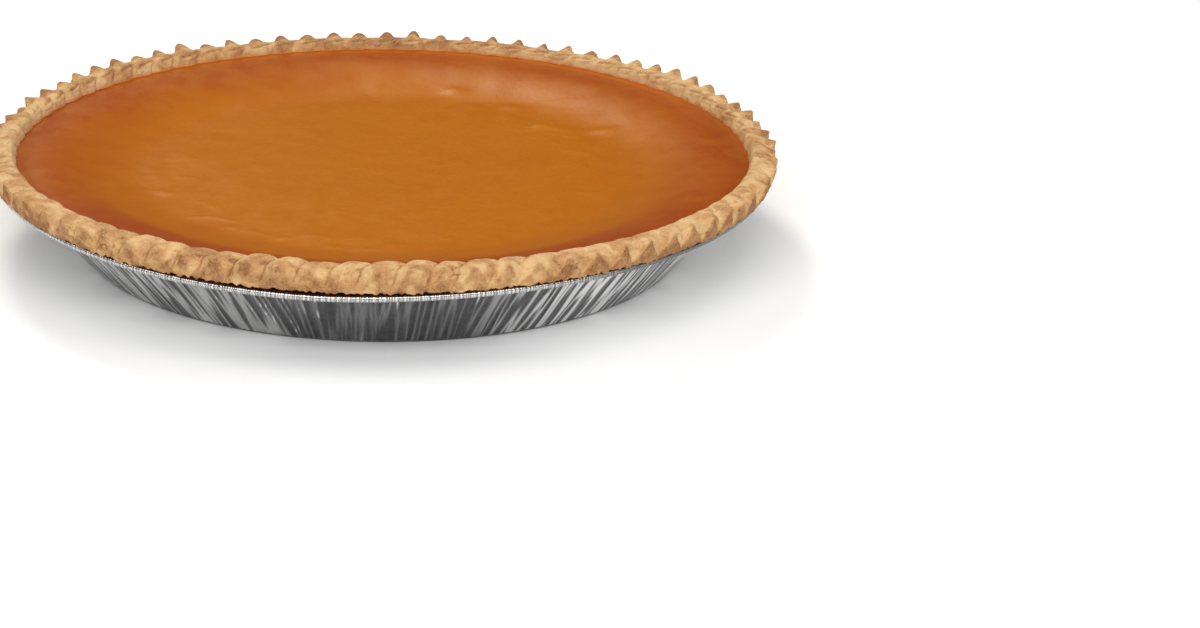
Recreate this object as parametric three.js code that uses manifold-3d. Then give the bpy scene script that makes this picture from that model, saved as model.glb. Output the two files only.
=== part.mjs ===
// Pumpkin pie in its foil tin.
//
// An uncut, baked pie: a pastry crust with a crimped rim, the custard filling that
// it holds, and the pleated foil tin that it was baked in and still stands in.
// Millimetres, +Z up. The origin lies on the tabletop under the pie's centre, the
// front is -Y, and angles run from the front towards +X.

import * as THREE from 'three';
import { mergeVertices } from 'three/addons/utils/BufferGeometryUtils.js';
import ManifoldModule from 'manifold-3d';

const { MathUtils } = THREE;
const TURN = 2 * Math.PI;

// Driving dimensions
const PIE_RADIUS = 155; // centre to the crimp tips
const TIN_BASE_RADIUS = 118.9;
const TIN_WALL_SLOPE = 0.871; // outward run of the tin's wall for each mm of rise
const FLANGE_HEIGHT = 31; // top of the tin's flange above the table
const TIN_RIM_RADIUS = 152; // outside of the tin's rolled rim
const CRUST_HEIGHT = 40.6; // top of the lobes along the crust's rim
const TIP_HEIGHT = 39.9;
const RIM_UNDERSIDE = 32.3; // lower edge of the crust's rim, over the tin's flange
const FILLING_EDGE_HEIGHT = 34.5; // the filling where it meets the crust
const FILLING_CENTRE_HEIGHT = 26; // the filling's sunken middle
const CLEARANCE = 0.3; // between neighbouring pieces

// Tin
const FOIL = 0.5;
const TIN_CORNER = 3; // radius between the tin's base and wall
const ROLL_RADIUS = 0.8; // section of the rolled rim
const ROLL_POINTS = 4;
const TIN_COLUMNS = 164;
const PLEAT_DEPTH = 0.55;
const PLEAT_UNEVENNESS = 0.25; // share of the depth that changes from pleat to pleat
const PLEAT_BEND = 20; // height where the pleats start to fade into the flange
const FLANGE_WAVE = 0.8; // how far the flange rises and dips on its way round
const FLANGE_WAVE_COUNT = 4;
const FLANGE_WAVE_START = MathUtils.degToRad(22);

// Crust
const CRUST_BASE = 3.6; // thickness under the filling
const CRUST_WALL = 4.4; // thickness of the wall, measured level
const CRUST_MOUTH_RADIUS = 144.1; // the crust's inside at the filling's edge
const FLARE_HEIGHT = 30.5; // from here up the crust's inside leans further out
const SHELL_COLUMNS = 82;
const CRIMPS = 82;
const CRIMP_ANGLE = TURN / CRIMPS;
const COLUMNS_PER_CRIMP = 4;
const FIRST_CRIMP = MathUtils.degToRad(2.84);
const CRIMP_LEAN = 0.2; // how far a ridge runs sideways on its way out, in crimps
const CRIMP_SHIFT = 0.06; // how far a ridge strays sideways, in crimps
const CRIMP_UNEVENNESS = 0.35; // how far the crimps differ in height and reach
const RIM_TILT = 0.6; // the rim stands higher at the front, lower at the back
const RAGGED_EDGE = 0.35; // how far the rim's lower edge strays

// The rim's section: insets are measured inward from the crimp tips, drops down from
// the top of the lobes
const TIP_UNDERCUT = 1.6; // inset of the lower edge under a tip
const HOLLOW_UNDERCUT = 2; // the same between two tips
const HOLLOW_INSET = 1.5; // the hollow between two tips
const HOLLOW_HEIGHT = 1.6; // the same, up from the lower edge
const BROW_INSET = 4; // where the rim's top turns down to the tips
const BROW_DROP = 0.4;
const LOBE_BROW_INSET = 3.8;
const LOBE_BROW_DROP = 1.7;
const NOTCH_INSET = 7; // where a ridge sinks into the notch between two lobes
const NOTCH_DROP = 0.6;
const CREST_INSET = 7.3; // the top of a lobe
const NOTCH_FOOT_INSET = 9.2; // where the rim's top turns down to the filling
const NOTCH_FOOT_DROP = 1.9;
const LOBE_FOOT_INSET = 10.2;
const LOBE_FOOT_DROP = 1.4;
const SEAM_RISE = 0.6; // the rim's inside starts this far above the filling's edge
const NOTCH_SEAM_OUT = 0.7; // there a notch lies this far out from the crust's mouth
const LOBE_SEAM_IN = 0.1; // and a lobe this far in
const RIM_ROOT = 0.8; // the rim's underside starts this far out from the crust's mouth
const CORE_WIDTH = 3.4; // the crust's wall inside the rim
const CORE_RISE = 1.4; // its outer shoulder, up from the rim's underside
const CORE_PEAK = 0.9; // its top, up from the filling's edge

// Filling
const SUNKEN_RADIUS = 0.6 * PIE_RADIUS; // the level middle
const RAISED_RADIUS = 0.88 * PIE_RADIUS; // where the slope has climbed out
const SHOULDER_DROP = 0.6; // from the filling's edge down to the top of its slope
const FILLING_COLUMNS = 82;
const SLOPE_ROWS = 6;

// Colours
const TIN_GREY = 0x9a9a98;
const CRUST_TAN = 0xcb9c64;
const FILLING_ORANGE = 0xbb6d21;

const WALL_SINE = Math.sin(Math.atan2(1, TIN_WALL_SLOPE));
const CRUST_FLOOR = FOIL + CLEARANCE;
const FILLING_FLOOR = CRUST_FLOOR + CRUST_BASE;

// The same distance off the leaning wall, measured level.
function level(distance) {
  return distance / WALL_SINE;
}

function tinWallRadius(height) {
  return TIN_BASE_RADIUS + TIN_WALL_SLOPE * height;
}

function crustWallRadius(height) {
  return tinWallRadius(height) - level(FOIL + CLEARANCE);
}

function fillingWallRadius(height) {
  return crustWallRadius(height) - CRUST_WALL - level(CLEARANCE);
}

// Seeded unevenness round the pie, from -1 to 1: one draw at each of `count` places,
// blended smoothly in between.
function unevenness(seed, count) {
  const draws = Array.from({ length: count }, (_, i) => 2 * MathUtils.seededRandom(seed + i) - 1);
  return (angle) => {
    const place = MathUtils.euclideanModulo(angle / TURN, 1) * count;
    const before = Math.floor(place) % count;
    const blend = MathUtils.smoothstep(place - Math.floor(place), 0, 1);
    return MathUtils.lerp(draws[before], draws[(before + 1) % count], blend);
  };
}

// A closed solid of revolution about +Z. `profile` runs up the outside and down the
// inside. `relief` gets a point's row in the profile and its angle, and returns where
// the point really lies: [radius, height, angle].
function turned(profile, columns, startAngle, relief) {
  const points = profile.map(([radius, height]) => new THREE.Vector2(radius, height));
  const lathe = new THREE.LatheGeometry(points, columns);
  lathe.deleteAttribute('normal');
  lathe.deleteAttribute('uv');
  const position = lathe.getAttribute('position');
  for (let i = 0; i < position.count; i += 1) {
    const column = Math.floor(i / points.length) % columns;
    const straight = startAngle + (TURN * column) / columns;
    const [radius, height, angle] = relief(i % points.length, straight);
    position.setXYZ(i, radius * Math.sin(angle), -radius * Math.cos(angle), height);
  }
  return mergeVertices(lathe, 1e-5);
}

function plainlyTurned(profile, columns) {
  return turned(profile, columns, FIRST_CRIMP, (row, angle) => [...profile[row], angle]);
}

// Tin: a flat base, a pleated wall leaning outward, a flange and a rolled rim.
function tinSections() {
  const wallAngle = Math.atan2(1, TIN_WALL_SLOPE);
  const cornerRun = TIN_CORNER * Math.tan(wallAngle / 2);
  const cornerEnd = TIN_BASE_RADIUS + cornerRun * Math.cos(wallAngle);
  const flangeUnderside = FLANGE_HEIGHT - FOIL;
  const rollRadius = TIN_RIM_RADIUS - ROLL_RADIUS;
  const rollHeight = FLANGE_HEIGHT - ROLL_RADIUS;
  const base = [
    [0, 0],
    [TIN_BASE_RADIUS - cornerRun, 0],
  ];
  const wall = [
    [cornerEnd, cornerRun * Math.sin(wallAngle)],
    [tinWallRadius(PLEAT_BEND), PLEAT_BEND],
  ];
  const roll = Array.from({ length: ROLL_POINTS }, (_, i) => {
    const around = MathUtils.lerp(-0.75 * Math.PI, 0.5 * Math.PI, i / (ROLL_POINTS - 1));
    return [
      rollRadius + ROLL_RADIUS * Math.cos(around),
      rollHeight + ROLL_RADIUS * Math.sin(around),
    ];
  });
  const flange = [
    [tinWallRadius(flangeUnderside), flangeUnderside],
    [rollRadius - ROLL_RADIUS, flangeUnderside],
    ...roll,
    [tinWallRadius(FLANGE_HEIGHT) - level(FOIL), FLANGE_HEIGHT],
  ];
  const inside = [
    [tinWallRadius(FOIL) - level(FOIL), FOIL],
    [0, FOIL],
  ];
  return { base, wall, flange, inside };
}

function makeTin() {
  const { base, wall, flange, inside } = tinSections();
  const profile = [...base, ...wall, ...flange, ...inside];
  const wallStart = base.length;
  const flangeStart = wallStart + wall.length;
  const insideStart = flangeStart + flange.length;
  const pleatSize = unevenness(100, TIN_COLUMNS);
  return turned(profile, TIN_COLUMNS, 0, (row, angle) => {
    const [radius, height] = profile[row];
    if (row >= wallStart && row < flangeStart) {
      const column = Math.round((angle / TURN) * TIN_COLUMNS);
      const pleat = PLEAT_DEPTH * (column % 2) * (1 - PLEAT_UNEVENNESS * (1 - pleatSize(angle)));
      return [radius + pleat, height, angle];
    }
    if (row >= flangeStart && row < insideStart) {
      const wave = Math.sin(FLANGE_WAVE_COUNT * (angle - FLANGE_WAVE_START));
      return [radius, height + FLANGE_WAVE * wave, angle];
    }
    return [radius, height, angle];
  });
}

// Crust: a plain shell that lines the tin, and a crimped rim joined to its top.
function makeCrustShell() {
  const profile = [
    [0, CRUST_FLOOR],
    [crustWallRadius(CRUST_FLOOR), CRUST_FLOOR],
    [crustWallRadius(FLANGE_HEIGHT), RIM_UNDERSIDE],
    [CRUST_MOUTH_RADIUS + CORE_WIDTH, RIM_UNDERSIDE + CORE_RISE],
    [CRUST_MOUTH_RADIUS + CORE_WIDTH / 2, FILLING_EDGE_HEIGHT + CORE_PEAK],
    [CRUST_MOUTH_RADIUS, FILLING_EDGE_HEIGHT],
    [crustWallRadius(FLARE_HEIGHT) - CRUST_WALL, FLARE_HEIGHT],
    [crustWallRadius(FILLING_FLOOR) - CRUST_WALL, FILLING_FLOOR],
    [0, FILLING_FLOOR],
  ];
  return plainlyTurned(profile, SHELL_COLUMNS);
}

// The rim's section on a ridge and in the middle of the lobe between two ridges, with
// how far out along its ridge each point lies. A ridge starts inside, as the notch
// between two lobes, and ends outside as a tip over a triangular face.
const RIM_ROWS = [
  {
    ridge: [CRUST_MOUTH_RADIUS + RIM_ROOT, RIM_UNDERSIDE],
    lobe: [CRUST_MOUTH_RADIUS + RIM_ROOT, RIM_UNDERSIDE],
    out: 0,
  },
  {
    ridge: [PIE_RADIUS - TIP_UNDERCUT, RIM_UNDERSIDE],
    lobe: [PIE_RADIUS - HOLLOW_UNDERCUT, RIM_UNDERSIDE],
    out: 1,
  },
  {
    ridge: [PIE_RADIUS, TIP_HEIGHT],
    lobe: [PIE_RADIUS - HOLLOW_INSET, RIM_UNDERSIDE + HOLLOW_HEIGHT],
    out: 1,
  },
  {
    ridge: [PIE_RADIUS - BROW_INSET, CRUST_HEIGHT - BROW_DROP],
    lobe: [PIE_RADIUS - LOBE_BROW_INSET, CRUST_HEIGHT - LOBE_BROW_DROP],
    out: 0.6,
  },
  {
    ridge: [PIE_RADIUS - NOTCH_INSET, CRUST_HEIGHT - NOTCH_DROP],
    lobe: [PIE_RADIUS - CREST_INSET, CRUST_HEIGHT],
    out: 0.2,
  },
  {
    ridge: [PIE_RADIUS - NOTCH_FOOT_INSET, CRUST_HEIGHT - NOTCH_FOOT_DROP],
    lobe: [PIE_RADIUS - LOBE_FOOT_INSET, CRUST_HEIGHT - LOBE_FOOT_DROP],
    out: 0,
  },
  {
    ridge: [CRUST_MOUTH_RADIUS + NOTCH_SEAM_OUT, FILLING_EDGE_HEIGHT + SEAM_RISE],
    lobe: [CRUST_MOUTH_RADIUS - LOBE_SEAM_IN, FILLING_EDGE_HEIGHT + SEAM_RISE],
    out: 0,
  },
];
const LOWER_EDGE_ROW = 1;
const FIRST_TOP_ROW = 2;
const LAST_TOP_ROW = 5;
const FIRST_ROUND_ROW = 4; // from here inward the lobes are round and meet in notches

function makeCrimpedRim() {
  const profile = [...RIM_ROWS, RIM_ROWS[0]].map(({ ridge }) => ridge);
  const shift = unevenness(200, CRIMPS);
  const size = unevenness(300, 2 * CRIMPS);
  const ragged = unevenness(500, CRIMPS * COLUMNS_PER_CRIMP);
  return turned(profile, CRIMPS * COLUMNS_PER_CRIMP, FIRST_CRIMP, (profileRow, angle) => {
    const row = profileRow % RIM_ROWS.length;
    const { ridge, lobe, out } = RIM_ROWS[row];
    const place = MathUtils.euclideanModulo((angle - FIRST_CRIMP) / CRIMP_ANGLE, 1);
    const sharp = Math.abs(1 - 2 * place);
    const round = 1 - Math.sin(Math.PI * place);
    const ridgeShare = row < FIRST_ROUND_ROW ? sharp : round;
    let radius = MathUtils.lerp(lobe[0], ridge[0], ridgeShare);
    let height = MathUtils.lerp(lobe[1], ridge[1], ridgeShare);
    if (row === LOWER_EDGE_ROW) {
      radius += RAGGED_EDGE * ragged(angle);
      height += RAGGED_EDGE * ragged(-angle);
    }
    if (row >= FIRST_TOP_ROW && row <= LAST_TOP_ROW) {
      radius -= CRIMP_UNEVENNESS * MathUtils.mapLinear(size(-angle), -1, 1, 0, 1);
      height += CRIMP_UNEVENNESS * size(angle) + RIM_TILT * Math.cos(angle);
    }
    const sideways = CRIMP_ANGLE * (CRIMP_LEAN * out + CRIMP_SHIFT * shift(angle));
    return [radius, height, angle + sideways];
  });
}

// Filling: a custard with a level sunken middle and a slope up to the crust.
function fillingHeight(radius) {
  const slopeTop = FILLING_EDGE_HEIGHT - SHOULDER_DROP;
  const climb = MathUtils.smoothstep(radius, SUNKEN_RADIUS, RAISED_RADIUS);
  return MathUtils.lerp(FILLING_CENTRE_HEIGHT, slopeTop, climb);
}

function makeFilling() {
  const base = FILLING_FLOOR + CLEARANCE;
  const slope = Array.from({ length: SLOPE_ROWS }, (_, i) => {
    const radius = MathUtils.lerp(RAISED_RADIUS, SUNKEN_RADIUS, i / (SLOPE_ROWS - 1));
    return [radius, fillingHeight(radius)];
  });
  const profile = [
    [0, base],
    [fillingWallRadius(base), base],
    [fillingWallRadius(FLARE_HEIGHT), FLARE_HEIGHT],
    [CRUST_MOUTH_RADIUS - level(CLEARANCE), FILLING_EDGE_HEIGHT],
    ...slope,
    [0, FILLING_CENTRE_HEIGHT],
  ];
  return plainlyTurned(profile, FILLING_COLUMNS);
}

// Joining closed meshes into one solid
const manifold = await ManifoldModule();
manifold.setup();

function toManifold(geometry) {
  const index = geometry.getIndex().array;
  const corners = [];
  for (let i = 0; i < index.length; i += 3) {
    const [a, b, c] = [index[i], index[i + 1], index[i + 2]];
    if (a !== b && b !== c && c !== a) {
      corners.push(a, b, c);
    }
  }
  const mesh = new manifold.Mesh({
    numProp: 3,
    vertProperties: new Float32Array(geometry.getAttribute('position').array),
    triVerts: new Uint32Array(corners),
  });
  return new manifold.Manifold(mesh);
}

function joined(first, second) {
  const solid = manifold.Manifold.union(toManifold(first), toManifold(second));
  const mesh = solid.getMesh();
  const geometry = new THREE.BufferGeometry();
  geometry.setAttribute('position', new THREE.BufferAttribute(mesh.vertProperties, 3));
  geometry.setIndex(new THREE.BufferAttribute(mesh.triVerts, 1));
  return geometry;
}

function piece(name, geometry, color, roughness, metalness) {
  geometry.computeVertexNormals();
  const material = new THREE.MeshStandardMaterial({ color, roughness, metalness });
  const mesh = new THREE.Mesh(geometry, material);
  mesh.name = name;
  return mesh;
}

const pie = new THREE.Group();
pie.add(piece('tin', makeTin(), TIN_GREY, 0.35, 1));
pie.add(piece('crust', joined(makeCrustShell(), makeCrimpedRim()), CRUST_TAN, 0.85, 0));
pie.add(piece('filling', makeFilling(), FILLING_ORANGE, 0.4, 0));

export default pie;
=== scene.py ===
"""Pumpkin pie in its foil tin: crust, filling, tin, floor, light and camera.

The meshes are made in millimetres about the pie's centre, with the sizes of the CAD
model, and are stored in metres. Angles run from the front (-Y) towards +X.
"""

import math

import bpy
import numpy as np
from mathutils import Euler, Matrix, Vector, noise


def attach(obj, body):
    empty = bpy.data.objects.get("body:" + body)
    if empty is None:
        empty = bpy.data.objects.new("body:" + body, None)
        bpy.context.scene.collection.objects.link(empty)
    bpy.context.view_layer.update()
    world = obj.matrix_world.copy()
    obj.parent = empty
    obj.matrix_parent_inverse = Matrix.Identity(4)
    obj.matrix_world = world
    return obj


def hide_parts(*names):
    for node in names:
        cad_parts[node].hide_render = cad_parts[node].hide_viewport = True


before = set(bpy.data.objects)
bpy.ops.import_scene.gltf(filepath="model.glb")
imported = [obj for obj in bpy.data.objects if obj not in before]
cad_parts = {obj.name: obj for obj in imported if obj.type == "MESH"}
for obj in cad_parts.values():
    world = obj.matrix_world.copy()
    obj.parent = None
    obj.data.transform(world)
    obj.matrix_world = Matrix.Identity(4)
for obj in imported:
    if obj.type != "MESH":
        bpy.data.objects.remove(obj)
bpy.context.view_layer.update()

TURN = 2 * math.pi
MM = 0.001

# Sizes, as in the CAD model
TIN_BASE_RADIUS = 118.9
TIN_WALL_SLOPE = 0.871
FLANGE_HEIGHT = 31.0
TIN_RIM_RADIUS = 152.0
RIM_UNDERSIDE = 32.3
FILLING_EDGE = 34.5
FILLING_CENTRE = 26.0
CLEARANCE = 0.3
FOIL = 0.5
CRUST_BASE = 3.6
CRUST_WALL = 4.4
FLARE_HEIGHT = 30.5
CRIMPS = 82
CRIMP_ANGLE = TURN / CRIMPS
FIRST_CRIMP = math.radians(2.84)
RIM_TILT = 0.6
WALL_SINE = math.sin(math.atan2(1, TIN_WALL_SLOPE))

# Between the places in the noise that two seeds give
SEED_STEP = 13.7
# How far keyed() blends to either side, in half degrees
KEY_BLEND = 12


# Helpers
def rough(points, size, seed):
    """Smooth noise from about -1 to 1 over points in millimetres, with lumps of that size."""
    places = (points / size + SEED_STEP * seed).reshape(-1, 3).tolist()
    return np.array([noise.noise(place) for place in places]).reshape(points.shape[:-1])


def around(angle, count, seed):
    """Smooth unevenness from -1 to 1 round the pie: one seeded draw at each of count places."""
    draws = np.random.default_rng(seed).uniform(-1, 1, count)
    place = (angle / TURN % 1) * count
    before = np.floor(place).astype(int) % count
    blend = smooth(place % 1, 0, 1)
    return draws[before] * (1 - blend) + draws[(before + 1) % count] * blend


def keyed(angle, degrees, values):
    """A value that is given at some angles round the pie, blended smoothly in between."""
    half_degrees = np.arange(720) / 2
    held = np.interp(half_degrees, degrees, values, period=360)
    kernel = np.hanning(2 * KEY_BLEND + 1)
    held = np.convolve(np.pad(held, KEY_BLEND, mode="wrap"), kernel / kernel.sum(), mode="valid")
    return np.interp(np.degrees(angle), half_degrees, held, period=360)


def smooth(value, low, high):
    """0 up to low, 1 from high on, with a soft rise in between."""
    t = np.clip((value - low) / (high - low), 0, 1)
    return t * t * (3 - 2 * t)


def mix(a, b, share):
    """From a at share 0 to b at share 1."""
    return a + (b - a) * share


def from_front(angle):
    """How far round from the front an angle is, to either side."""
    return np.abs((angle + math.pi) % TURN - math.pi)


def spot(radius, angle, height):
    """Points at a radius, an angle and a height, of which any may be an array."""
    parts = np.broadcast_arrays(radius * np.sin(angle), -radius * np.cos(angle), height)
    return np.stack(parts, axis=-1).astype(float)


def tin_wall(height):
    """The outer radius of the tin's wall."""
    return TIN_BASE_RADIUS + TIN_WALL_SLOPE * height


def crust_wall(height):
    """The outer radius of the crust inside the tin."""
    return tin_wall(height) - (FOIL + CLEARANCE) / WALL_SINE


class Shell:
    """Collects rings of points, and the masks that go with them, into one closed mesh."""

    def __init__(self):
        self.points = []
        self.faces = []
        self.masks = {}
        self.ring = None
        self.total = 0

    def add_ring(self, points, **masks):
        """The next ring. Its points are as many as the last one's, or a whole fraction or
        multiple of them."""
        for name, values in masks.items():
            self.masks.setdefault(name, []).append((self.total, values))
        ids = np.arange(len(points)) + self.total
        self.points.append(points)
        self.total += len(points)
        if self.ring is not None:
            self.bridge(self.ring, ids)
        self.ring = ids

    def bridge(self, old, new):
        """Faces between two rings: quads, or fans where one ring is finer."""
        if len(old) == len(new):
            nxt = np.roll(old, -1), np.roll(new, -1)
            self.faces += np.stack([old, nxt[0], nxt[1], new], axis=1).tolist()
            return
        fine, coarse, flip = (old, new, False) if len(old) > len(new) else (new, old, True)
        step = len(fine) // len(coarse)
        for c in range(len(coarse)):
            for k in range(step):
                j = (c * step + k - step // 2) % len(fine)
                face = [fine[j], fine[(j + 1) % len(fine)], coarse[c]]
                self.faces.append(face[::-1] if flip else face)
            j = (c * step + step - step // 2) % len(fine)
            face = [fine[j], coarse[(c + 1) % len(coarse)], coarse[c]]
            self.faces.append(face[::-1] if flip else face)

    def cap(self, point, at_start=False):
        """Closes the mesh with a fan to one point."""
        ring = np.arange(len(self.points[0])) if at_start else self.ring
        nxt = np.roll(ring, -1)
        self.points.append(np.array([point], dtype=float))
        for a, b in zip(ring.tolist(), nxt.tolist()):
            self.faces.append([b, a, self.total] if at_start else [a, b, self.total])
        self.total += 1

    def piece(self, name, material):
        mesh = bpy.data.meshes.new(name)
        faces = [[int(i) for i in f] for f in self.faces]
        mesh.from_pydata((np.concatenate(self.points) * MM).tolist(), [], faces)
        mesh.shade_smooth()
        for mask, rings in self.masks.items():
            whole = np.zeros(self.total, dtype=np.float32)
            for start, values in rings:
                whole[start : start + len(values)] = values
            mesh.attributes.new(mask, "FLOAT", "POINT").data.foreach_set("value", whole)
        mesh.materials.append(material)
        made = bpy.data.objects.new(name, mesh)
        bpy.context.scene.collection.objects.link(made)
        return made


# Materials
class Nodes:
    """A short way to write a material's nodes."""

    def __init__(self, name):
        self.material = bpy.data.materials.new(name)
        self.material.use_nodes = True
        self.tree = self.material.node_tree
        self.shader = self.tree.nodes["Principled BSDF"]
        self.place = self.node("ShaderNodeTexCoord").outputs["Object"]

    def node(self, kind, **settings):
        made = self.tree.nodes.new(kind)
        for key, value in settings.items():
            setattr(made, key, value)
        return made

    def put(self, value, socket):
        if isinstance(value, bpy.types.NodeSocket):
            self.tree.links.new(value, socket)
        elif isinstance(value, tuple) and len(value) == 3 and len(socket.default_value) == 4:
            socket.default_value = (*value, 1)
        else:
            socket.default_value = value

    def math(self, operation, a, b=0.0):
        made = self.node("ShaderNodeMath", operation=operation)
        self.put(a, made.inputs[0])
        self.put(b, made.inputs[1])
        return made.outputs[0]

    def spread(self, value, low, high, to_low=0.0, to_high=1.0):
        """A smooth step from to_low, where value is low, to to_high, where it is high."""
        made = self.node("ShaderNodeMapRange", interpolation_type="SMOOTHSTEP")
        for socket, v in zip(made.inputs, (value, low, high, to_low, to_high)):
            self.put(v, socket)
        return made.outputs[0]

    def noise(self, per_metre, detail=3.0, roughness=0.5, at=None, distortion=0.0):
        made = self.node("ShaderNodeTexNoise")
        self.put(at or self.place, made.inputs["Vector"])
        made.inputs["Scale"].default_value = per_metre
        made.inputs["Detail"].default_value = detail
        made.inputs["Roughness"].default_value = roughness
        made.inputs["Distortion"].default_value = distortion
        return made.outputs["Fac"]

    def mask(self, name):
        """A mask that the mesh carries."""
        return self.node("ShaderNodeAttribute", attribute_name=name).outputs["Fac"]

    def colour(self, share, a, b):
        made = self.node("ShaderNodeMix", data_type="RGBA")
        self.put(share, made.inputs["Factor"])
        self.put(a, made.inputs["A"])
        self.put(b, made.inputs["B"])
        return [s for s in made.outputs if s.type == "RGBA"][0]

    def ramp(self, share, stops):
        """A colour that runs through these (position, colour) stops, from 0 to 1."""
        made = self.node("ShaderNodeValToRGB")
        self.put(share, made.inputs[0])
        elements = made.color_ramp.elements
        for position, colour in stops:
            if position in (0.0, 1.0):
                stop = elements[0 if position == 0.0 else -1]
            else:
                stop = elements.new(position)
            stop.color = (*colour, 1)
        return made.outputs[0]

    def specks(self, per_metre, low, high, share):
        """Scattered specks: full up to the low distance from their middles, none from the high."""
        made = self.node("ShaderNodeTexVoronoi")
        self.put(self.place, made.inputs["Vector"])
        made.inputs["Scale"].default_value = per_metre
        dots = self.spread(made.outputs["Distance"], low, high, 1.0, 0.0)
        return self.math("MULTIPLY", dots, share)

    def bump(self, height, strength, distance, normal=None):
        made = self.node("ShaderNodeBump")
        made.inputs["Strength"].default_value = strength
        made.inputs["Distance"].default_value = distance
        self.put(height, made.inputs["Height"])
        if normal is not None:
            self.put(normal, made.inputs["Normal"])
        return made.outputs["Normal"]

    def polar(self):
        """(radius in metres, angle in radians) of a point about the pie's axis."""
        parts = self.node("ShaderNodeSeparateXYZ")
        self.put(self.place, parts.inputs[0])
        x, y = parts.outputs[0], parts.outputs[1]
        squares = self.math("ADD", self.math("MULTIPLY", x, x), self.math("MULTIPLY", y, y))
        angle = self.math("ARCTAN2", x, self.math("MULTIPLY", y, -1.0))
        return self.math("SQRT", squares), angle

    def done(self, colour, roughness, normal):
        self.put(colour, self.shader.inputs["Base Color"])
        self.put(roughness, self.shader.inputs["Roughness"])
        self.put(normal, self.shader.inputs["Normal"])
        return self.material


# From pale to brown
PASTRY_STOPS = (
    (0.0, (0.60, 0.388, 0.18)),
    (0.45, (0.43, 0.222, 0.078)),
    (1.0, (0.22, 0.075, 0.018)),
)
# From the pie's middle outwards
CUSTARD_STOPS = (
    (0.0, (0.405, 0.12, 0.002)),
    (0.55, (0.405, 0.119, 0.002)),
    (0.72, (0.37, 0.098, 0.003)),
    (0.88, (0.3, 0.05, 0.004)),
    (1.0, (0.25, 0.035, 0.003)),
)
# The radius, in metres, of the custard's last colour
CUSTARD_REACH = 0.15


def pastry():
    """Pastry, browned by the crust's masks and by uneven patches of its own. The masks also carry
    painted shade in cracks, grooves, pits and folds, and on the back teeth's inner faces.
    """
    n = Nodes("pastry")
    lumps = n.noise(230, 4, 0.6)
    patches = n.noise(95, 3, 0.5, distortion=0.6)
    grain = n.noise(1500, 3, 0.6)
    # The crust's mask holds its browning together with painted shade in its recesses and on the
    # back teeth's inner faces
    brown = n.math("MULTIPLY", n.mask("brown"), 0.62)
    brown = n.math("ADD", brown, n.spread(lumps, 0.35, 0.7, -0.12, 0.3))
    brown = n.math("ADD", brown, n.spread(patches, 0.35, 0.68, -0.2, 0.34))
    colour = n.ramp(brown, PASTRY_STOPS)
    colour = n.colour(n.spread(grain, 0.3, 0.75, 0.0, 0.3), colour, (0.69, 0.48, 0.27))
    specks = n.specks(420, 0.1, 0.2, n.spread(lumps, 0.5, 0.6))
    colour = n.colour(n.math("MULTIPLY", specks, 0.45), colour, (0.36, 0.13, 0.035))
    colour = n.colour(n.mask("stain"), colour, (0.62, 0.2, 0.045))
    # Painted shade: the crust under the rim, in the gap above the tin, is darkened
    colour = n.colour(n.mask("dark"), colour, (0.17, 0.06, 0.024))
    crumbs = n.noise(640, 4, 0.65)
    coarse = n.bump(lumps, 0.4, 0.0012)
    coarse = n.bump(crumbs, 0.55, 0.0007, coarse)
    fine = n.bump(grain, 0.6, 0.0004, coarse)
    colour = n.colour(n.spread(crumbs, 0.56, 0.72, 0.0, 0.35), colour, (0.30, 0.125, 0.04))
    n.shader.inputs["Specular IOR Level"].default_value = 0.2
    return n.done(colour, n.spread(grain, 0.2, 0.8, 0.6, 0.85), fine)


def custard():
    """Baked custard, darker towards the crust."""
    n = Nodes("custard")
    radius, angle = n.polar()
    broad = n.noise(26, 3, 0.5)
    cloud = n.noise(75, 4, 0.6, distortion=0.4)
    fine = n.noise(480, 2, 0.5)
    wander = n.math("ADD", radius, n.spread(broad, 0.25, 0.75, -0.007, 0.007))
    wander = n.math("ADD", wander, n.spread(cloud, 0.25, 0.75, -0.003, 0.003))
    colour = n.ramp(n.math("DIVIDE", wander, CUSTARD_REACH), CUSTARD_STOPS)
    colour = n.colour(n.spread(cloud, 0.3, 0.75, 0.0, 0.35), colour, (0.42, 0.14, 0.004))
    colour = n.colour(n.spread(fine, 0.35, 0.68, 0.0, 0.3), colour, (0.34, 0.093, 0.003))
    # A painted highlight along the crust at the back, and painted shade on the edge at the front,
    # behind the crust
    towards_front = n.math("COSINE", angle)
    back = n.spread(towards_front, -0.75, -0.35, 0.75, 0.0)
    seam = n.math("MULTIPLY", n.spread(radius, 0.1388, 0.1425), back)
    colour = n.colour(seam, colour, (0.40, 0.105, 0.008))
    front = n.spread(towards_front, 0.3, 0.8, 0.0, 0.75)
    edge = n.math("MULTIPLY", n.spread(radius, 0.1125, 0.121), front)
    colour = n.colour(edge, colour, (0.27, 0.04, 0.006))
    specks = n.specks(330, 0.06, 0.16, n.spread(cloud, 0.5, 0.65))
    colour = n.colour(n.math("MULTIPLY", specks, 0.22), colour, (0.25, 0.05, 0.01))
    swell = n.bump(n.noise(55, 1, 0.4), 0.25, 0.0012)
    grain = n.bump(fine, 0.16, 0.0003, swell)
    n.shader.inputs["Specular IOR Level"].default_value = 0.24
    n.shader.inputs["Specular Tint"].default_value = (1.0, 0.86, 0.4, 1)
    n.shader.inputs["IOR"].default_value = 1.42
    return n.done(colour, n.spread(cloud, 0.3, 0.7, 0.28, 0.33), grain)


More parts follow.
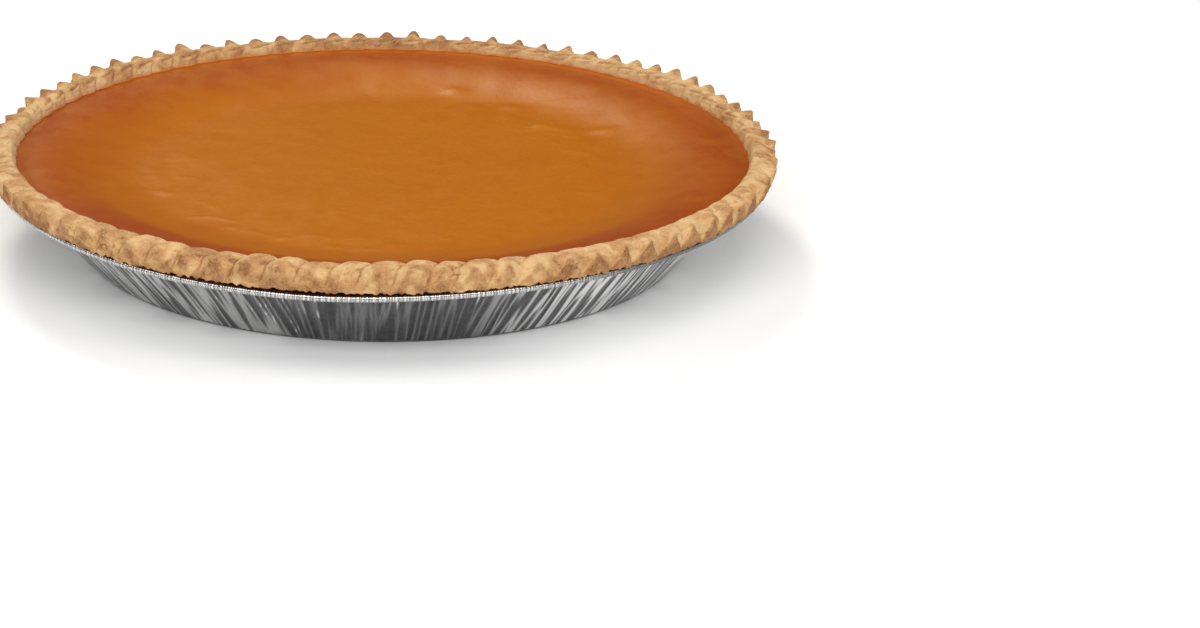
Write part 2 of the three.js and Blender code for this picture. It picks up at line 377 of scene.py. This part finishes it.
def foil():
    """Crinkled foil, darkened and streaked with painted reflections. The mesh's masks say where its
    folds get painted shine and painted glints.
    """
    n = Nodes("foil")
    radius, angle = n.polar()
    dull = n.noise(400, 3, 0.6)
    creases = n.noise(260, 4, 0.65, distortion=1.2)
    rim = n.spread(radius, 0.1485, 0.1495)
    along = n.node("ShaderNodeCombineXYZ")
    n.put(angle, along.inputs[0])
    # Knurl ticks: bumps, and painted highlights in the rim's colour
    knurl_glints = n.noise(190, 2, 0.5, at=along.outputs[0])
    knurl_glints = n.math("MULTIPLY", n.spread(knurl_glints, 0.42, 0.6), rim)
    # Painted reflections: the wall runs from near black to grey by the fold mask, darker than foil
    # to stand in for what it reflects, and the glint mask paints white glints
    fold = n.spread(n.mask("fold"), 0.0, 0.95)
    colour = n.colour(fold, (0.055, 0.055, 0.057), (0.42, 0.42, 0.41))
    colour = n.colour(n.spread(dull, 0.3, 0.7, 0.0, 0.25), colour, (0.2, 0.2, 0.2))
    colour = n.colour(n.mask("glint"), colour, (0.98, 0.98, 0.97))
    # The rolled rim, with painted highlights on its knurl ticks, and darker where the crust shades
    # it at the right, as painted shade
    rim_colour = n.colour(knurl_glints, (0.28, 0.27, 0.265), (0.74, 0.73, 0.71))
    begins = n.spread(angle, 0.4, 0.75, 0.0, 0.85)
    shaded = n.math("MULTIPLY", begins, n.spread(angle, 1.6, 2.2, 1.0, 0.0))
    colour = n.colour(rim, colour, n.colour(shaded, rim_colour, (0.13, 0.12, 0.11)))
    n.shader.inputs["Metallic"].default_value = 1.0
    crinkle = n.bump(creases, 0.12, 0.0006)
    knurl = n.bump(knurl_glints, 0.5, 0.00025, crinkle)
    return n.done(colour, n.spread(dull, 0.3, 0.7, 0.16, 0.265), knurl)


def plain(name, colour, roughness):
    """One colour with a faint unevenness."""
    n = Nodes(name)
    shade = n.noise(4, 2, 0.5)
    tint = n.colour(shade, colour, tuple(0.985 * c for c in colour))
    return n.done(tint, roughness, n.bump(n.noise(900, 2), 0.02, 0.0002))


# Crust. The rim's rows run from the seam at the filling, station t = 0, over the top to
# the lower edge, t = 1. Its columns run across each crimp, from the crease before it,
# q = 0, over its ridge, q = 0.5, to the next crease, q = 1.
RIM_ROWS = 46
CRIMP_COLUMNS = 24
TIP_LEVEL = 0.56

# Sections through a ridge and through a crease, at the front and at the back
RIM_STATIONS = [0.0, 0.10, 0.20, 0.27, 0.34, 0.44, 0.56, 0.70, 0.86, 1.0]
RIDGE_RADII = [143.8, 143.8, 144.2, 145.1, 147.2, 150.6, 155.4, 155.0, 154.3, 153.6]
RIDGE_HEIGHTS = [33.6, 36.2, 38.8, 40.1, 40.8, 40.6, 40.3, 37.4, 34.4, 32.0]
BACK_RIDGE_HEIGHTS = [33.6, 35.8, 37.9, 38.9, 39.3, 39.4, 39.7, 37.6, 34.4, 32.0]
VALLEY_RADII = [144.5, 145.0, 145.7, 146.3, 147.2, 149.8, 152.4, 153.5, 153.7, 153.3]
VALLEY_HEIGHTS = [33.6, 36.0, 38.0, 39.0, 39.5, 39.4, 38.5, 36.7, 34.2, 32.0]
BACK_VALLEY_HEIGHTS = [33.6, 35.7, 37.6, 38.5, 38.8, 38.7, 38.1, 36.4, 34.1, 32.0]
RIDGE_ROUNDING = 0.012
VALLEY_ROUNDING = 0.03

# What changes round the pie, each with its angles in degrees: how crisp the folds are,
# how far tips and rim rise, how brown the crust is, and at the back the half width of
# a tooth and how far the creases sweep sideways, both in crimps
CRISP_ANGLES = [-170, -60, -28, 14, 32, 180]
CRISPNESS = [1, 0.8, 0.1, 0.1, 1, 1]
TIP_ANGLES = [0, 60, 75, 100, 113, 126, 140, 152, 165, 180]
TIP_RISES = [0, 0, -1.2, -1.0, 0.2, 0.9, 0.5, 0, 0, 0]
RIM_ANGLES = [0, 103, 116, 127, 138, 148, 158, 180]
RIM_RISES = [0, 0, 0.5, 1.4, 0.9, 0.3, 0.1, 0.1]
TOAST_ANGLES = [-170, -140, -90, -35, -5, 15, 35, 60, 110, 140, 158, 172]
TOAST = [0.95, 0.6, 0.2, 0.5, 0.48, 0.22, 0.2, 0.26, 0.26, 0.22, 0.4, 0.75]
TOOTH_ANGLES = [-166, 60, 100, 120, 140, 155, 165, 172, 180]
TOOTH_HALF_WIDTHS = [0.3, 0.28, 0.28, 0.34, 0.32, 0.22, 0.2, 0.2, 0.26]
SWEEP_ANGLES = [95, 110, 125, 145, 155, 166, 180]
SWEEPS = [0, 0.1, 0.24, 0.24, 0.16, 0.1, 0]

# Two rings under the rim: radius, and height above the rim's underside
UNDERSIDE_RINGS = ((150.6, 0.1), (152.4, -0.15))


def rounded(values, at, width):
    """A section's values, joined by lines whose corners are rounded over that width."""
    # Steps of a thousandth, and some of them beyond the section's ends
    fine = np.linspace(-0.2, 1.2, 1401)
    line = np.interp(np.clip(fine, 0, 1), RIM_STATIONS, values)
    kernel = np.exp(-0.5 * (np.arange(-150, 151) / (1000 * width)) ** 2)
    line = np.convolve(np.pad(line, 150, mode="edge"), kernel / kernel.sum(), mode="valid")
    held = np.interp(at, fine, line)
    held[0], held[-1] = values[0], values[-1]
    return held


def fold_angles(t, q, crimp, facing, back, over, below, stray):
    """The angles of the rim's points: creases and ridges lean sideways on their way out."""
    crease = (mix(-0.40, -0.28, back) - keyed(facing, SWEEP_ANGLES, SWEEPS)) * over
    crease -= mix(0.2, 0.13, back) * below
    here, after = (
        crease + mix(stray[0][number], stray[1][number], over)
        for number in (crimp, (crimp + 1) % CRIMPS)
    )
    ridge = mix(mix(0.45, 0.3, back), mix(-0.03, 0.22, back), over) + 0.03 * below
    ridge += mix(stray[2][crimp], 0.5 * stray[0][crimp], over)
    place = np.where(q < 0.5, mix(here, ridge, 2 * q), mix(ridge, 1 + after, 2 * q - 1))
    return FIRST_CRIMP + CRIMP_ANGLE * (crimp + place)


def ridge_share(t, q, facing, back, crisp, below, sizes):
    """How much of the ridge's section a point has, against the crease's, and the part of
    it that is the flat end of a crimp."""
    away = np.abs(q - 0.5)
    sharpness = np.where(q < 0.5, mix(3.2, 2.0, crisp), mix(2.5, 2.0, crisp))
    rise = 1 - (2 * away) ** sharpness
    half_width = mix(0.5, keyed(facing, TOOTH_ANGLES, TOOTH_HALF_WIDTHS), back)
    tooth = np.clip(1 - (away / half_width) ** mix(1, 2.0, back), 0, 1)
    soft = np.where(q < 0.5, 0.12, 0.18) * mix(1, 0.5, crisp)
    end = np.clip(1 - (away - 0.04 - 0.44 * below) / soft, 0, 1)
    share = mix(rise, tooth, smooth(t, mix(0.4, 0.3, back), mix(TIP_LEVEL, 0.46, back)))
    share = np.where(t > TIP_LEVEL, np.maximum(end, tooth * (1 - below)), share)
    share *= np.clip(1 + 0.22 * sizes * (t > 0.15), 0.5, 1.4)
    # Crisp folds are shallow on the inside of the rim
    flatter = crisp * (1 - smooth(back, 0.4, 0.9)) * smooth(t, 0.05, 0.2)
    return mix(0.6, share, mix(mix(1, 0.15, flatter), 1, smooth(t, 0.36, 0.5))), end


def add_crumb(points, angle, t):
    """Moves the rim's points for its lumps, its cracks and its ragged lower edge."""
    outward = np.stack([np.sin(angle), -np.cos(angle)], axis=-1)
    lump = 0.2 * rough(points, 5.0, 1) + 0.18 * rough(points, 2.2, 2)
    lump += 0.16 * (0.4 - np.abs(rough(points, 1.3, 3)))
    crack = np.clip(1 - np.abs(rough(points, 4.5, 4)) / 0.06, 0, 1)
    crack *= smooth(rough(points, 9.0, 5), 0.12, 0.35)
    swell = (lump - 0.55 * crack) * (0.15 + 0.85 * smooth(t, 0.18, 0.32))
    lean = smooth(t, 0.35, 0.6)
    points[..., :2] += outward * (swell * lean)[..., None]
    points[..., 2] += swell * (1 - lean)
    edge = smooth(t, 0.86, 1.0)
    ragged = 0.8 * (np.abs(rough(points, 2.6, 6)) - 0.25)
    ragged += 0.9 * rough(points, 1.3, 7) + 0.6 * rough(points, 5, 12)
    points[..., 2] += edge * ragged
    points[..., :2] += outward * (edge * 0.3 * rough(points, 1.6, 8))[..., None]
    return crack


def crust_rim():
    """The rim's points by row and column, the angles of the last row, and two masks."""
    t, column = np.meshgrid(
        np.linspace(0, 1, RIM_ROWS), np.arange(CRIMPS * CRIMP_COLUMNS), indexing="ij"
    )
    crimp, q = column // CRIMP_COLUMNS, column % CRIMP_COLUMNS / CRIMP_COLUMNS
    facing = FIRST_CRIMP + CRIMP_ANGLE * (crimp + q)
    turned = from_front(facing)
    back = smooth(turned, math.radians(65), math.radians(125))
    crisp = keyed(facing, CRISP_ANGLES, CRISPNESS)
    draws = np.random.default_rng(11)
    stray = [draws.normal(0, 0.05, CRIMPS) for _ in range(3)]
    sizes = draws.normal(0, 1, CRIMPS)[crimp]

    # How far a point is over the top of the rim, and how far down from the tips
    over = smooth(t, mix(0.2, 0.1, back), mix(TIP_LEVEL, 0.36, back))
    below = smooth(t, TIP_LEVEL, 1.0)
    angle = fold_angles(t, q, crimp, facing, back, over, below, stray)
    share, end = ridge_share(t, q, facing, back, crisp, below, sizes)

    ridge_height, valley_height = (
        mix(rounded(front, t, width), rounded(behind, t, width), back)
        for front, behind, width in (
            (RIDGE_HEIGHTS, BACK_RIDGE_HEIGHTS, RIDGE_ROUNDING),
            (VALLEY_HEIGHTS, BACK_VALLEY_HEIGHTS, VALLEY_ROUNDING),
        )
    )
    ridge_radius = rounded(RIDGE_RADII, t, RIDGE_ROUNDING)
    radius = mix(rounded(VALLEY_RADII, t, VALLEY_ROUNDING), ridge_radius, share)
    height = mix(valley_height, ridge_height, share)

    # Narrow grooves in the creases, a pit beside each, and a fold round the back
    groove = np.exp(-((q / 0.045) ** 2)) + np.exp(-(((1 - q) / 0.03) ** 2))
    groove *= smooth(t, 0.2, 0.3) * (1 - smooth(t, 0.75, 0.95)) * mix(1, 0.12, crisp)
    radius -= 0.75 * groove * over
    height -= 0.55 * groove * (1 - over)
    pit = np.exp(-(((t - 0.5) / 0.035) ** 2) - ((q - 0.9) / 0.05) ** 2)
    pit *= (1 - crisp) * draws.uniform(0.2, 1, CRIMPS)[crimp]
    radius -= 0.8 * pit
    fold = np.exp(-(((t - 0.31 + 0.09 * q) / 0.035) ** 2))
    fold *= smooth(q, 0.0, 0.15) * (1 - smooth(q, 0.6, 0.95)) * smooth(back, 0.4, 0.8)
    radius += 0.3 * fold
    height -= 0.45 * fold

    # How the rim rises and dips round the pie
    tip_rise = keyed(turned, TIP_ANGLES, TIP_RISES) * smooth(t, 0.4, TIP_LEVEL)
    height += tip_rise * (1 - below) * mix(0.25, 1, share)
    height += keyed(turned, RIM_ANGLES, RIM_RISES) * smooth(t, 0.1, 0.3) * (1 - below)
    top = smooth(t, 0.0, 0.25) * (1 - smooth(t, TIP_LEVEL, 0.95))
    height += top * (RIM_TILT * np.cos(angle) + 0.25 * around(angle, 60, 5))
    radius -= 0.5 * back * smooth(t, 0.44, TIP_LEVEL) * (1 - below)
    height += 0.35 * below * flange_wave(angle)
    beside = 1 - np.abs(2 * back - 1)
    height -= 0.5 * beside * smooth(t, 0.3, TIP_LEVEL) * (1 - below)

    points = spot(radius, angle, height)
    crack = add_crumb(points, angle, t)

    # Browned on the ends of the crimps and round the back, and darker as painted shade in cracks,
    # grooves, pits and the fold, and on the teeth's inner faces at the back
    patchy = smooth(rough(points, 4.0, 10), -0.45, 0.2)
    patchy = mix(patchy, 1.15, 0.75 * crisp)
    tip = np.where(t > TIP_LEVEL - 0.06, end, 0)
    tip *= smooth(t, TIP_LEVEL - 0.06, TIP_LEVEL + 0.05)
    brown = tip * mix(0.55, 0.95, smooth(turned, 0.35, 0.85)) * patchy
    # Painted shade: darker in cracks, the fold, grooves and pits
    brown += 0.9 * crack + fold + 0.8 * groove + 1.4 * pit
    brown += keyed(angle, TOAST_ANGLES, TOAST)
    # Painted shade: the teeth's inner faces at the back are darkened
    back_inner_face_shade = smooth(t, 0.44, 0.48) * (1 - smooth(t, 0.56, 0.6)) * smooth(share, 0.1, 0.35)
    brown += 0.75 * back_inner_face_shade * smooth(back, 0.1, 0.6)
    brown -= 0.3 * (1 - smooth(t, 0.2, 0.36))
    # Stained by the filling along the seam
    stain = 0.62 * (1 - smooth(t, 0.04, 0.11))
    return points, angle[-1], brown, stain


def make_crust(material):
    """The crust from under its base, up the outside, over the rim and down inside to its floor."""
    rim, edge_angle, brown, stain = crust_rim()
    shell = Shell()
    coarse = FIRST_CRIMP + TURN * np.arange(2 * CRIMPS) / (2 * CRIMPS)
    base = FOIL + CLEARANCE
    floor = base + CRUST_BASE
    # Painted shade: down the outside in the tin and under the rim, the crust is marked to be
    # darkened
    for radius, height in ((crust_wall(base), base), (crust_wall(FLANGE_HEIGHT), RIM_UNDERSIDE)):
        shell.add_ring(spot(radius, coarse, height), dark=np.ones(coarse.size))
    for radius, rise in UNDERSIDE_RINGS:
        ring = spot(radius, edge_angle, RIM_UNDERSIDE + rise)
        ring += 0.12 * rough(ring, 1.5, 9)[:, None]
        shell.add_ring(ring, dark=np.ones(edge_angle.size))
    for row in reversed(range(RIM_ROWS)):
        shell.add_ring(rim[row], brown=brown[row], stain=stain[row])
    for height in (FLARE_HEIGHT, floor):
        shell.add_ring(spot(crust_wall(height) - CRUST_WALL, coarse, height))
    shell.cap((0, 0, floor))
    shell.cap((0, 0, base), at_start=True)
    return shell.piece("crust_baked", material)


# Filling
FILLING_COLUMNS = 492
FILLING_GAP = 0.4
FILLING_RADII = np.concatenate([
    np.linspace(144.9, 142.0, 10, endpoint=False),
    np.linspace(142.0, 90.0, 44, endpoint=False),
    np.linspace(90.0, 70.0, 16, endpoint=False),
    np.linspace(70.0, 6.0, 28),
])
SUNKEN_RADIUS = 93.0
RAISED_RADIUS = 136.4
EDGE_DROP = 0.6
EDGE_LIP = 0.5
# Ripples at the foot of the slope: their radius, the width of their band, and by angle
# in degrees how strong they are
RIPPLE_RADIUS = 86
RIPPLE_WIDTH = 11
RIPPLE_ANGLES = [-60, 0, 90, 110, 125, 160, 175]
RIPPLES = [0.6, 0.5, 0.2, 0.9, 1, 0.9, 0.1]
# Small wrinkles that catch the light: angle in degrees, radius, half length and height
WRINKLES = (
    (136, 88, 6, 1.0),
    (124, 102, 6, 0.6),
    (168, 107, 5, 0.5),
    (131, 91, 4, 0.6),
    (152, 99, 5, 0.5),
)
WRINKLE_HALF_WIDTH = 3.0


def make_filling(material):
    """The filling from under its base, up its side and over its top to the middle."""
    angle = TURN * np.arange(FILLING_COLUMNS) / FILLING_COLUMNS
    coarse = angle[::4]
    shell = Shell()
    base = FOIL + CLEARANCE + CRUST_BASE + CLEARANCE
    for height in (base, FLARE_HEIGHT):
        shell.add_ring(spot(crust_wall(height) - CRUST_WALL - FILLING_GAP, coarse, height))
    for radius in FILLING_RADII:
        climb = smooth(radius, SUNKEN_RADIUS, RAISED_RADIUS)
        height = mix(FILLING_CENTRE, FILLING_EDGE - EDGE_DROP, climb)
        height += EDGE_LIP * smooth(radius, 138.5, 146)
        points = spot(radius, angle, height)
        wave = 0.35 * rough(points, 38, 21) + 0.12 * rough(points, 11, 22)
        points[:, 2] += wave * (1 - 0.6 * smooth(radius, 125, 144))
        foot = math.exp(-(((radius - RIPPLE_RADIUS) / RIPPLE_WIDTH) ** 2))
        ripple = np.maximum(rough(points * np.array([0.6, 1, 1]), 6, 24) - 0.1, 0)
        points[:, 2] += 0.9 * foot * keyed(angle, RIPPLE_ANGLES, RIPPLES) * ripple
        for facing, distance, half_length, rise in WRINKLES:
            middle = spot(distance, math.radians(facing), 0)
            apart = (points - middle)[:, :2] / (half_length, WRINKLE_HALF_WIDTH)
            points[:, 2] += rise * np.exp(-(apart**2).sum(axis=1))
        shell.add_ring(points)
    shell.cap((0, 0, FILLING_CENTRE))
    shell.cap((0, 0, base), at_start=True)
    return shell.piece("filling_baked", material)


# Tin
TIN_COLUMNS = 1640
TIN_WALL_ROWS = 18
CORNER_RADIUS = 3.0
ROLL_RADIUS = 1.35
KNURL_DEPTH = 0.05
# By angle in degrees: how strong the painted reflections on the wall's folds are, and how
# far the flange rises
PAINTED_GLARE_ANGLES = [-150, -90, -30, -15, -9, 12, 20, 30, 40, 90, 150]
PAINTED_GLARE = [0.1, 0.8, 0.5, 0.3, 0.03, 0.03, 0.08, 0.7, 1.0, 0.8, 0.2]
FLANGE_ANGLES = [-150, -100, -50, -15, -5, 14, 21, 45, 85, 130]
FLANGE_RISES = [0.3, -0.5, 0.5, -0.9, -1.2, -0.2, 0.1, 0.8, 0.7, -0.2]


def flange_wave(angle):
    """How far the flange rises or dips at an angle, in millimetres."""
    return keyed(angle, FLANGE_ANGLES, FLANGE_RISES)


def add_pleats(shell, angle, lowest):
    """The rings of the tin's wall, pleated, with masks for the painted reflections on its folds and
    for their painted glints.
    """
    painted_glare = keyed(angle, PAINTED_GLARE_ANGLES, PAINTED_GLARE)
    for height in np.linspace(lowest, FLANGE_HEIGHT - FOIL - 1.0, TIN_WALL_ROWS):
        slant = 0.035 * rough(spot(130, angle, 0), 22, 31) * (height / FLANGE_HEIGHT - 0.5)
        fold = spot(130, angle + slant, 0.06 * height)
        big = 1 - np.abs(rough(fold, 2.4, 32)) * 2.2
        small = 1 - np.abs(rough(fold, 1.0, 33)) * 2.2
        pleat = 0.32 * big + 0.13 * small
        pleat *= smooth(height, 0.5, 6.0) * (1 - 0.5 * smooth(height, 24, 30))
        # Painted reflections on the folds: how light each fold is painted, stronger where the glare
        # is, and thin painted glints
        dull = 0.4 * big + 0.25 * small - 0.12
        shine = mix(dull, 1.5 * big + 0.3 * small - 0.75, painted_glare)
        glint = smooth(big, 0.9, 0.98)
        glint *= smooth(rough(fold * np.array([1, 1, 5]), 7, 34), 0.15, 0.4)
        glint = np.maximum(glint, painted_glare * smooth(big + 0.2 * small, 0.55, 0.95))
        wave = flange_wave(angle) * smooth(height, 6.0, 29.5)
        ring = spot(tin_wall(height) - 0.1 + pleat, angle, height + wave)
        shell.add_ring(ring, fold=np.clip(shine, 0, 1), glint=glint)


def make_tin(material):
    """The tin from under its base, up the outside, round the rolled rim and down inside."""
    angle = TURN * np.arange(TIN_COLUMNS) / TIN_COLUMNS
    coarse = angle[::10]
    shell = Shell()
    # The rounded corner under the wall
    lean = math.atan2(1, TIN_WALL_SLOPE)
    run = CORNER_RADIUS * math.tan(lean / 2)
    corner = ((-run - 1.5, 0.0, coarse), (-run, 0.0, angle), (0.15 * run, 0.25, angle))
    for out, height, places in corner:
        ring = spot(TIN_BASE_RADIUS + out, places, height)
        shell.add_ring(ring, fold=np.full(places.size, 0.3))
    add_pleats(shell, angle, run * math.sin(lean))
    # Flange and rolled rim
    wave = flange_wave(angle)
    under = FLANGE_HEIGHT - FOIL
    roll_radius = TIN_RIM_RADIUS - ROLL_RADIUS
    roll_start = roll_radius - ROLL_RADIUS
    shell.add_ring(spot(roll_start - 1.6, angle, under - 0.25 + wave))
    shell.add_ring(spot(roll_start - 0.1, angle, under + wave))
    round_roll = ROLL_RADIUS + KNURL_DEPTH * np.sin(TIN_COLUMNS / 2 * angle + math.pi / 2)
    for turn in np.linspace(-0.8 * math.pi, 0.55 * math.pi, 12):
        radius = roll_radius + round_roll * math.cos(turn)
        height = FLANGE_HEIGHT - ROLL_RADIUS + round_roll * math.sin(turn)
        shell.add_ring(spot(radius, angle, height + wave))
    # Down inside to the floor
    inward = FOIL / WALL_SINE
    mouth = FLANGE_HEIGHT + 0.8 * flange_wave(coarse)
    shell.add_ring(spot(tin_wall(FLANGE_HEIGHT) - inward, coarse, mouth))
    shell.add_ring(spot(tin_wall(FOIL) - inward, coarse, FOIL))
    shell.cap((0, 0, FOIL))
    shell.cap((0, 0, 0), at_start=True)
    return shell.piece("tin_foil", material)


# Stage, in metres
FLOOR_HALF = 6.0
FLOOR_DROP = 0.0002
LIGHT_TARGET = Vector((0, 0, 0.03))
WHITE = (1, 1, 1)
# Name, place, width and height, watts and colour
SOFTBOXES = (
    ("key_behind", (-0.5, 1.2, 1.3), (0.5, 0.5), 15, (1, 0.92, 0.78)),
    ("overhead", (0.1, -0.45, 1.7), (1.6, 1.0), 9, WHITE),
    ("front", (0.0, -1.6, 1.1), (2.4, 1.0), 34, WHITE),
    ("right", (1.7, -0.2, 1.0), (1.6, 0.9), 14, WHITE),
    ("left", (-1.7, -0.2, 1.0), (1.6, 0.9), 8, WHITE),
)
# The sky's strength grows from the first value to the second between these heights
SKY_STRENGTHS = (0.06, 0.2)
SKY_RISE = (0.38, 0.85)
SKY_COLOUR = (1.0, 0.99, 0.98, 1)
# As fitted to the photo
LENS = 97.563
SENSOR_WIDTH = 36
CAMERA_PLACE = (0.086724, -1.224666, 0.434311)
CAMERA_DIP = 0.363744
CAMERA_ROLL = 0.027014


def softbox(name, place, size, power, colour):
    """A rectangular light that faces the pie."""
    light = bpy.data.lights.new(name, "AREA")
    light.shape = "RECTANGLE"
    light.size, light.size_y = size
    light.energy = power
    light.color = colour
    made = bpy.data.objects.new(name, light)
    made.location = place
    made.rotation_euler = (LIGHT_TARGET - Vector(place)).to_track_quat("-Z", "Y").to_euler()
    bpy.context.scene.collection.objects.link(made)


def make_sky():
    """A soft light from all round, brighter overhead."""
    world = bpy.data.worlds.new("studio")
    world.use_nodes = True
    nodes = world.node_tree.nodes
    links = world.node_tree.links
    parts = nodes.new("ShaderNodeSeparateXYZ")
    links.new(nodes.new("ShaderNodeTexCoord").outputs["Generated"], parts.inputs[0])
    rising = nodes.new("ShaderNodeMapRange")
    rising.interpolation_type = "SMOOTHSTEP"
    for end, height, strength in zip(("Min", "Max"), SKY_RISE, SKY_STRENGTHS):
        rising.inputs["From " + end].default_value = height
        rising.inputs["To " + end].default_value = strength
    links.new(parts.outputs["Z"], rising.inputs["Value"])
    background = nodes["Background"]
    background.inputs["Color"].default_value = SKY_COLOUR
    links.new(rising.outputs[0], background.inputs["Strength"])
    bpy.context.scene.world = world


def make_stage():
    """The floor, the sky and the lights."""
    mesh = bpy.data.meshes.new("floor")
    corners = [(x * FLOOR_HALF, y * FLOOR_HALF, 0) for x, y in ((-1, -1), (1, -1), (1, 1), (-1, 1))]
    mesh.from_pydata(corners, [], [(0, 1, 2, 3)])
    mesh.materials.append(plain("floor_white", (0.94, 0.94, 0.94), 0.8))
    floor = bpy.data.objects.new("floor", mesh)
    floor.location.z = -FLOOR_DROP
    bpy.context.scene.collection.objects.link(floor)
    make_sky()
    for light in SOFTBOXES:
        softbox(*light)


def make_camera():
    """The camera that saw the photo."""
    camera = bpy.data.cameras.new("camera")
    camera.lens = LENS
    camera.sensor_width = SENSOR_WIDTH
    made = bpy.data.objects.new("camera", camera)
    made.location = CAMERA_PLACE
    tilt = Euler((math.pi / 2 - CAMERA_DIP, 0, 0)).to_matrix()
    made.rotation_euler = (tilt @ Matrix.Rotation(CAMERA_ROLL, 3, "Z")).to_euler()
    bpy.context.scene.collection.objects.link(made)
    bpy.context.scene.camera = made


bpy.context.scene.view_settings.view_transform = "Standard"
make_camera()
make_stage()
crust = make_crust(pastry())
filling = make_filling(custard())
tin = make_tin(foil())
for made, node, slot in (
    (crust, "crust", "pastry"),
    (filling, "filling", "custard"),
    (tin, "tin", "foil"),
):
    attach(made, "root")
    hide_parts(node)
